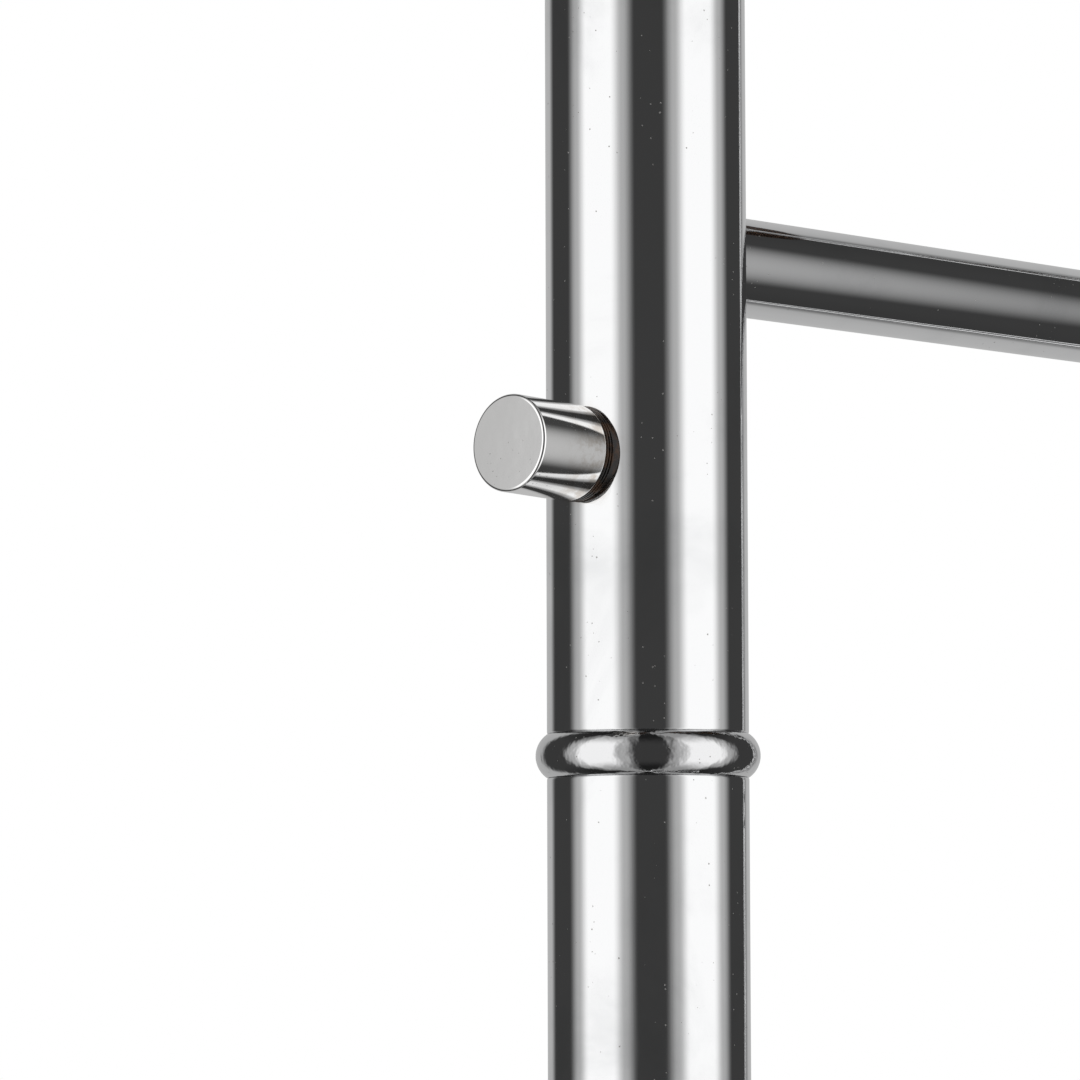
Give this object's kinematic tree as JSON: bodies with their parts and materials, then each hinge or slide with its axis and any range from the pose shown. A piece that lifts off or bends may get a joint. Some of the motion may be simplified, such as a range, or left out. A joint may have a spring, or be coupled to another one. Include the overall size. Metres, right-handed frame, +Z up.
{
  "type": "valet stand",
  "caption": "Chromed tube valet stand: two-part posts with bead rings and screw-in side pegs, bars between them, a coat hanger, a tray, and shoe rails on levelling glides.",
  "frame": {"origin": "on the floor, under the middle of the stand", "axes": "+Z up, -Y is the front, +X is the right-hand post as seen from the front"},
  "size_m": [0.45, 0.33, 1.105],
  "materials": {
    "chrome": "polished, with fine vertical draw lines",
    "zinc_steel": "zinc plated",
    "rubber": "moulded, matte",
    "lacquered_wood": "dark stained beech under satin lacquer",
    "leather": "fine grain",
    "dark_washer": "dark brown, dull"
  },
  "bodies": {
    "stand": {"foot_rail_left": "chrome", "lower_post_left": "chrome", "upper_post_left": "chrome", "joint_ring_left": "chrome", "base_nut_left": "zinc_steel", "foot_bolt_left": "zinc_steel", "spigot_left": "zinc_steel", "spigot_nut_left": "zinc_steel", "top_nut_left": "zinc_steel", "saddle_washer_left": "chrome", "hanger_screw_left": "chrome", "tray_clip_left": "chrome", "foot_plug_front_left": "chrome", "foot_plug_rear_left": "chrome", "foot_rail_right": "chrome", "lower_post_right": "chrome", "upper_post_right": "chrome", "joint_ring_right": "chrome", "base_nut_right": "zinc_steel", "foot_bolt_right": "zinc_steel", "spigot_right": "zinc_steel", "spigot_nut_right": "zinc_steel", "top_nut_right": "zinc_steel", "saddle_washer_right": "chrome", "hanger_screw_right": "chrome", "tray_clip_right": "chrome", "foot_plug_front_right": "chrome", "foot_plug_rear_right": "chrome", "shoe_rail_front": "chrome", "shoe_rail_middle": "chrome", "shoe_rail_rear": "chrome", "trouser_bar": "chrome", "tray_bar": "chrome", "tray_screws": "chrome", "glide_inserts": "zinc_steel", "tray": "lacquered_wood", "hanger": "lacquered_wood", "tray_liner": "leather"},
    "left_peg_washer": {"peg_washer_left": "dark_washer"},
    "left_peg": {"peg_left": "chrome", "peg_stud_left": "zinc_steel"},
    "right_peg_washer": {"peg_washer_right": "dark_washer"},
    "right_peg": {"peg_right": "chrome", "peg_stud_right": "zinc_steel"},
    "front_left_pad": {"glide_pad_front_left": "rubber"},
    "front_left_screw": {"glide_screw_front_left": "zinc_steel"},
    "rear_left_pad": {"glide_pad_rear_left": "rubber"},
    "rear_left_screw": {"glide_screw_rear_left": "zinc_steel"},
    "front_right_pad": {"glide_pad_front_right": "rubber"},
    "front_right_screw": {"glide_screw_front_right": "zinc_steel"},
    "rear_right_pad": {"glide_pad_rear_right": "rubber"},
    "rear_right_screw": {"glide_screw_rear_right": "zinc_steel"}
  },
  "joints": [
    {"name": "left_peg_travel", "type": "slide", "parent": "stand", "child": "left_peg_washer", "axis": [-0.9991, 0, 0.0419], "range_m": [0, 0.00313]},
    {"name": "left_peg_turn", "type": "hinge", "parent": "left_peg_washer", "child": "left_peg", "pos_m": [-0.15, 0, 0.7062], "axis": [-0.9991, 0, 0.0419], "range_deg": [0, 900]},
    {"name": "right_peg_travel", "type": "slide", "parent": "stand", "child": "right_peg_washer", "axis": [0.9991, 0, 0.0419], "range_m": [0, 0.00313]},
    {"name": "right_peg_turn", "type": "hinge", "parent": "right_peg_washer", "child": "right_peg", "pos_m": [0.15, 0, 0.7062], "axis": [0.9991, 0, 0.0419], "range_deg": [0, 900]},
    {"name": "front_left_glide_travel", "type": "slide", "parent": "stand", "child": "front_left_pad", "axis": [0, 0, -1], "range_m": [0, 0.0075]},
    {"name": "front_left_glide_turn", "type": "hinge", "parent": "front_left_pad", "child": "front_left_screw", "pos_m": [-0.15, -0.138, 0], "axis": [0, 0, -1], "range_deg": [0, 2160]},
    {"name": "rear_left_glide_travel", "type": "slide", "parent": "stand", "child": "rear_left_pad", "axis": [0, 0, -1], "range_m": [0, 0.0075]},
    {"name": "rear_left_glide_turn", "type": "hinge", "parent": "rear_left_pad", "child": "rear_left_screw", "pos_m": [-0.15, 0.138, 0], "axis": [0, 0, -1], "range_deg": [0, 2160]},
    {"name": "front_right_glide_travel", "type": "slide", "parent": "stand", "child": "front_right_pad", "axis": [0, 0, -1], "range_m": [0, 0.0075]},
    {"name": "front_right_glide_turn", "type": "hinge", "parent": "front_right_pad", "child": "front_right_screw", "pos_m": [0.15, -0.138, 0], "axis": [0, 0, -1], "range_deg": [0, 2160]},
    {"name": "rear_right_glide_travel", "type": "slide", "parent": "stand", "child": "rear_right_pad", "axis": [0, 0, -1], "range_m": [0, 0.0075]},
    {"name": "rear_right_glide_turn", "type": "hinge", "parent": "rear_right_pad", "child": "rear_right_screw", "pos_m": [0.15, 0.138, 0], "axis": [0, 0, -1], "range_deg": [0, 2160]}
  ],
  "couplings": [
    {"joint": "left_peg_turn", "follows": "left_peg_travel", "rad_per_m": 5026.5},
    {"joint": "right_peg_turn", "follows": "right_peg_travel", "rad_per_m": 5026.5},
    {"joint": "front_left_glide_turn", "follows": "front_left_glide_travel", "rad_per_m": 5026.5},
    {"joint": "rear_left_glide_turn", "follows": "rear_left_glide_travel", "rad_per_m": 5026.5},
    {"joint": "front_right_glide_turn", "follows": "front_right_glide_travel", "rad_per_m": 5026.5},
    {"joint": "rear_right_glide_turn", "follows": "rear_right_glide_travel", "rad_per_m": 5026.5}
  ]
}
